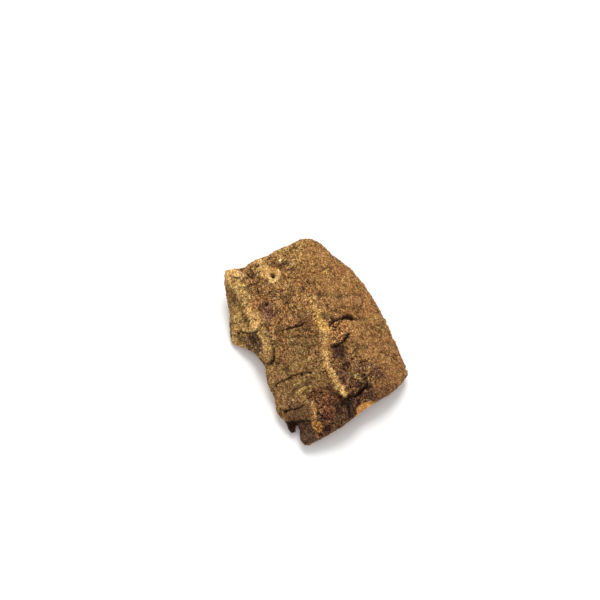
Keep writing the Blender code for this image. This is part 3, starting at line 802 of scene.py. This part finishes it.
def lay_out(mesh):
    """A UV map for baking: the outer face large, the inner face smaller, and the broken sides in four strips."""
    first = np.empty(len(mesh.polygons), np.int32)
    total = np.empty(len(mesh.polygons), np.int32)
    vertex = np.empty(len(mesh.loops), np.int32)
    mesh.polygons.foreach_get("loop_start", first)
    mesh.polygons.foreach_get("loop_total", total)
    mesh.loops.foreach_get("vertex_index", vertex)
    flat = np.empty(len(mesh.vertices) * 3)
    mesh.attributes["bark_flat"].data.foreach_get("vector", flat)
    flat = flat.reshape(-1, 3) / MM
    corner = flat[vertex]
    face = np.repeat(np.arange(len(first)), total)
    after = np.arange(1, len(vertex) + 1)
    after[first + total - 1] = first
    up = np.add.reduceat(np.cross(corner, corner[after]), first)
    flat_area = np.abs(up[:, 2]) / 2
    up /= np.maximum(np.linalg.norm(up, axis=1), 1e-12)[:, None]
    kind = np.where(up[:, 2] > 0.5, 0, np.where(up[:, 2] < -0.5, 1, 2))[face]
    loop = [tuple(p) for p in ragged_outline()]
    walls = np.unique(vertex[kind == 2])
    along = np.zeros(len(flat))
    _, _, along[walls], length = line_fields(flat[walls, 0], flat[walls, 1], loop + loop[:1])
    s = along[vertex]
    low, high = np.minimum.reduceat(s, first), np.maximum.reduceat(s, first)
    s = np.where(((high - low) > 0.5 * length)[face] & (s < 0.5 * length), s + length, s)
    strip_length = length / 4
    strip = np.minimum((np.add.reduceat(s, first) / total) // strip_length, 3)[face]
    fine = 650.0 / strip_length
    x, y, z = corner.T
    solid = np.empty(len(mesh.vertices) * 3)
    mesh.vertices.foreach_get("co", solid)
    solid = solid.reshape(-1, 3)[vertex] / MM
    area = np.linalg.norm(np.add.reduceat(np.cross(solid, solid[after]), first), axis=1) / 2
    outer, is_outer = kind[first] == 0, kind == 0
    used = np.unique(vertex[is_outer])
    middle = np.add.reduceat(corner[:, :2], first) / total[:, None]
    placed = flat[:, :2].copy()
    placed[used] = even_out(placed[used], middle[outer], flat_area[outer], area[outer], np.array([-98.0, -122.5]), np.array([92.2, 137.4]))
    here, there = placed[vertex], placed[vertex[after]]
    turned = np.add.reduceat(here[:, 0] * there[:, 1] - here[:, 1] * there[:, 0], first)[outer] <= 0
    print("outer face laid out", placed[used].min(axis=0), placed[used].max(axis=0), "turned", turned.sum(), "of", outer.sum())
    x = np.where(is_outer, placed[vertex, 0], x)
    y = np.where(is_outer, placed[vertex, 1], y)
    u = np.choose(kind, [4 + (x + 98.5) * 3.9, 757 + (93.0 - x) * 1.37, 757 + strip * (15 * fine + 8) + z * fine])
    v = np.choose(kind, [4 + (y + 123.0) * 3.9, 4 + (y + 123.0) * 1.37, 360 + (s - strip * strip_length) * fine])
    layer = mesh.uv_layers.new(name="OFBake")
    layer.uv.foreach_set("vector", (np.column_stack([u, v]) / 1024.0).astype(np.float32).ravel())
    print("uv", (u.min(), u.max()), (v.min(), v.max()), "side scale", fine)


# ---------------------------------------------------------------- material
def bark_material():
    material = bpy.data.materials.new("cork_bark")
    material.use_nodes = True
    tree = material.node_tree
    nodes, links = tree.nodes, tree.links
    shader = nodes["Principled BSDF"]

    def node(kind, **settings):
        made = nodes.new(kind)
        for key, value in settings.items():
            setattr(made, key, value)
        return made

    def attribute(name, output="Fac"):
        made = node("ShaderNodeAttribute", attribute_name=name)
        return made.outputs[output]

    def put(socket, value):
        if isinstance(value, (int, float, tuple)):
            socket.default_value = value
        else:
            links.new(value, socket)

    def maths(operation, a, b=0.0, clamp=False):
        made = node("ShaderNodeMath", operation=operation, use_clamp=clamp)
        put(made.inputs[0], a)
        put(made.inputs[1], b)
        return made.outputs[0]

    def remap(value, low, high, to_low=0.0, to_high=1.0):
        made = node("ShaderNodeMapRange", interpolation_type="SMOOTHSTEP")
        put(made.inputs["Value"], value)
        made.inputs["From Min"].default_value = low
        made.inputs["From Max"].default_value = high
        made.inputs["To Min"].default_value = to_low
        made.inputs["To Max"].default_value = to_high
        return made.outputs["Result"]

    def mix(a, b, factor, blend="MIX"):
        made = node("ShaderNodeMix", data_type="RGBA", blend_type=blend)
        put(made.inputs[0], factor)
        put(made.inputs[6], a)
        put(made.inputs[7], b)
        return made.outputs[2]

    place = node("ShaderNodeTexCoord").outputs["Object"]

    def stretched(sx, sy, sz):
        made = node("ShaderNodeMapping")
        made.inputs["Scale"].default_value = (sx, sy, sz)
        links.new(place, made.inputs["Vector"])
        return made.outputs["Vector"]

    def noise(scale, detail=3.0, rough=0.6, vector=None, distortion=0.0):
        made = node("ShaderNodeTexNoise")
        links.new(vector or place, made.inputs["Vector"])
        made.inputs["Scale"].default_value = scale
        made.inputs["Detail"].default_value = detail
        made.inputs["Roughness"].default_value = rough
        made.inputs["Distortion"].default_value = distortion
        return made.outputs["Fac"]

    def specks(scale, vector=None):
        made = node("ShaderNodeTexVoronoi")
        links.new(vector or place, made.inputs["Vector"])
        made.inputs["Scale"].default_value = scale
        return made.outputs["Distance"], made.outputs["Color"]

    colour = attribute("bark_colour", "Color")
    rough = attribute("bark_rough")
    dark = attribute("bark_dark")
    side = attribute("bark_side")
    under = attribute("bark_under")

    along = stretched(1.0, 0.45, 1.0)
    fine = noise(430.0, 3.0, 0.72, stretched(1.0, 0.7, 1.0), 0.3)
    medium = noise(130.0, 4.0, 0.65, along, 0.4)
    crumb = noise(900.0, 2.0, 0.6)
    scatter = noise(640.0, 1.0, 0.5, stretched(1.0, 0.7, 1.0), 0.4)
    clumps = noise(70.0, 2.0, 0.5)
    d2, c2 = specks(620.0, stretched(1.0, 0.7, 1.0))

    light = maths("ADD", remap(fine, 0.34, 0.66, -0.28, 0.28), remap(medium, 0.3, 0.7, -0.16, 0.16))
    light = maths("ADD", light, remap(crumb, 0.37, 0.63, -0.60, 0.60))
    spread = maths("MULTIPLY_ADD", rough, 0.75)
    spread.node.inputs[2].default_value = 0.74
    light = maths("MULTIPLY", light, spread)
    gain = maths("MAXIMUM", maths("ADD", light, 1.0), 0.2)
    tint = node("ShaderNodeCombineXYZ")
    put(tint.inputs[0], gain)
    put(tint.inputs[1], maths("POWER", gain, 1.4))
    put(tint.inputs[2], maths("POWER", gain, 1.9))
    scaled = node("ShaderNodeVectorMath", operation="MULTIPLY")
    links.new(colour, scaled.inputs[0])
    links.new(tint.outputs[0], scaled.inputs[1])
    base = scaled.outputs[0]

    # reddish and olive casts, pale crumbs, and pin holes painted near-black as the shade in them
    hue = noise(120.0, 3.0, 0.6)
    base = mix(base, (0.30, 0.10, 0.045, 1.0), remap(hue, 0.60, 0.74, 0.0, 0.34))
    base = mix(base, (0.33, 0.24, 0.08, 1.0), remap(hue, 0.40, 0.26, 0.0, 0.30))
    pale = maths("MULTIPLY", remap(scatter, 0.64, 0.72), remap(clumps, 0.42, 0.58, 0.15, 1.0))
    pale = maths("MULTIPLY", pale, remap(dark, 0.5, 0.1, 0.0, 0.7))
    base = mix(base, (0.60, 0.41, 0.22, 1.0), pale)
    separate2 = node("ShaderNodeSeparateColor")
    links.new(c2, separate2.inputs[0])
    hole = maths("MULTIPLY", remap(d2, 0.40, 0.20), remap(separate2.outputs[1], 0.72, 0.82))
    hole = maths("MULTIPLY", hole, remap(rough, 0.0, 0.6, 0.35, 0.95))
    base = mix(base, (0.045, 0.018, 0.012, 1.0), maths("MULTIPLY", hole, 0.8))
    # hairline fissures painted near-black: partly dark bark, partly painted shade in them
    def hairline(scale, width, patch, vector):
        away = maths("ABSOLUTE", maths("SUBTRACT", noise(scale, 2.0, 0.55, vector, 0.8), 0.5))
        return maths("MULTIPLY", remap(away, width, 0.25 * width), remap(patch, 0.44, 0.58))

    line = maths("MAXIMUM", hairline(105.0, 0.028, clumps, along), hairline(230.0, 0.036, medium, stretched(1.0, 0.8, 1.0)))
    line = maths("MAXIMUM", line, hairline(62.0, 0.045, maths("SUBTRACT", noise(30.0, 1.0, 0.5), 0.06), stretched(0.55, 1.0, 1.0)))
    line = maths("MULTIPLY", line, remap(rough, -0.3, 0.35, 0.15, 0.85))
    base = mix(base, (0.034, 0.012, 0.006, 1.0), maths("MULTIPLY", line, 0.8))
    links.new(base, shader.inputs["Base Color"])

    bump_height = maths("ADD", maths("MULTIPLY", fine, 0.7), maths("MULTIPLY", crumb, 0.35))
    bump_height = maths("ADD", bump_height, maths("MULTIPLY", medium, 0.8))
    bump_height = maths("ADD", bump_height, maths("MULTIPLY", pale, 0.3))
    bump_height = maths("SUBTRACT", bump_height, maths("MULTIPLY", maths("MAXIMUM", hole, line), 0.5))
    strength = maths("MULTIPLY_ADD", rough, 0.55)
    strength.node.inputs[2].default_value = 0.45
    bump = node("ShaderNodeBump")
    bump.inputs["Distance"].default_value = 0.0008
    links.new(bump_height, bump.inputs["Height"])
    links.new(strength, bump.inputs["Strength"])
    links.new(bump.outputs["Normal"], shader.inputs["Normal"])

    shine = maths("ADD", remap(medium, 0.3, 0.7, 0.78, 0.92), maths("MULTIPLY", dark, 0.06))
    links.new(shine, shader.inputs["Roughness"])
    shader.inputs["Specular IOR Level"].default_value = 0.16
    material.diffuse_color = (0.27, 0.14, 0.06, 1.0)
    return material


# ---------------------------------------------------------------- assemble
slab = build_bark(0.65, 198_000)
lay_out(slab.data)
slab.data.materials.clear()
slab.data.materials.append(bark_material())
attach(slab, "root")
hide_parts("cork_bark_slab")

# floor
floor_mesh = bpy.data.meshes.new("floor")
floor_mesh.from_pydata([(-30, -30, -0.0004), (30, -30, -0.0004), (30, 30, -0.0004), (-30, 30, -0.0004)], [], [(0, 1, 2, 3)])
floor = bpy.data.objects.new("floor", floor_mesh)
bpy.context.scene.collection.objects.link(floor)
paper = bpy.data.materials.new("pale_floor")
paper.use_nodes = True
paper.node_tree.nodes["Principled BSDF"].inputs["Base Color"].default_value = (0.93, 0.93, 0.93, 1.0)
paper.node_tree.nodes["Principled BSDF"].inputs["Roughness"].default_value = 0.9
paper.node_tree.nodes["Principled BSDF"].inputs["Specular IOR Level"].default_value = 0.1
floor_mesh.materials.append(paper)

# light
world = bpy.data.worlds.new("studio")
bpy.context.scene.world = world
world.use_nodes = True
world.node_tree.nodes["Background"].inputs["Color"].default_value = (1.0, 1.0, 1.0, 1.0)
world.node_tree.nodes["Background"].inputs["Strength"].default_value = 0.80
# the empty backdrop is seen as white paper, so that it runs into the floor
backdrop = world.node_tree.nodes.new("ShaderNodeBackground")
backdrop.inputs["Color"].default_value = (1.0, 1.0, 1.0, 1.0)
backdrop.inputs["Strength"].default_value = 1.0
seen = world.node_tree.nodes.new("ShaderNodeLightPath")
either = world.node_tree.nodes.new("ShaderNodeMixShader")
world.node_tree.links.new(seen.outputs["Is Camera Ray"], either.inputs[0])
world.node_tree.links.new(world.node_tree.nodes["Background"].outputs[0], either.inputs[1])
world.node_tree.links.new(backdrop.outputs[0], either.inputs[2])
world.node_tree.links.new(either.outputs[0], world.node_tree.nodes["World Output"].inputs["Surface"])


def sun(name, toward, strength, spread, colour=(1.0, 1.0, 1.0)):
    """A broad soft lamp, far away, so that the floor is evenly lit."""
    data = bpy.data.lights.new(name, "SUN")
    data.energy = strength
    data.angle = spread
    data.color = colour
    lamp = bpy.data.objects.new(name, data)
    bpy.context.scene.collection.objects.link(lamp)
    lamp.rotation_euler = Vector(toward).to_track_quat("Z", "Y").to_euler()
    return lamp


sun("key", (0.50, 0.82, 1.10), 2.2, 0.55, (1.0, 0.985, 0.96))

# camera at the photograph's angle
camera_data = bpy.data.cameras.new("camera")
camera_data.lens = 70.0
camera_data.sensor_width = 36.0
camera = bpy.data.objects.new("camera", camera_data)
bpy.context.scene.collection.objects.link(camera)
camera_right = Vector((0.891007, -0.453990, 0.0))
camera_up = Vector((0.408044, 0.800831, 0.438371))
camera_back = Vector((-0.199016, -0.390592, 0.898794))
turn = Matrix((camera_right, camera_up, camera_back)).transposed().to_4x4()
camera.matrix_world = Matrix.Translation((-0.280638, -0.512622, 1.316018)) @ turn
bpy.context.scene.camera = camera

bpy.context.scene.view_settings.view_transform = "Standard"
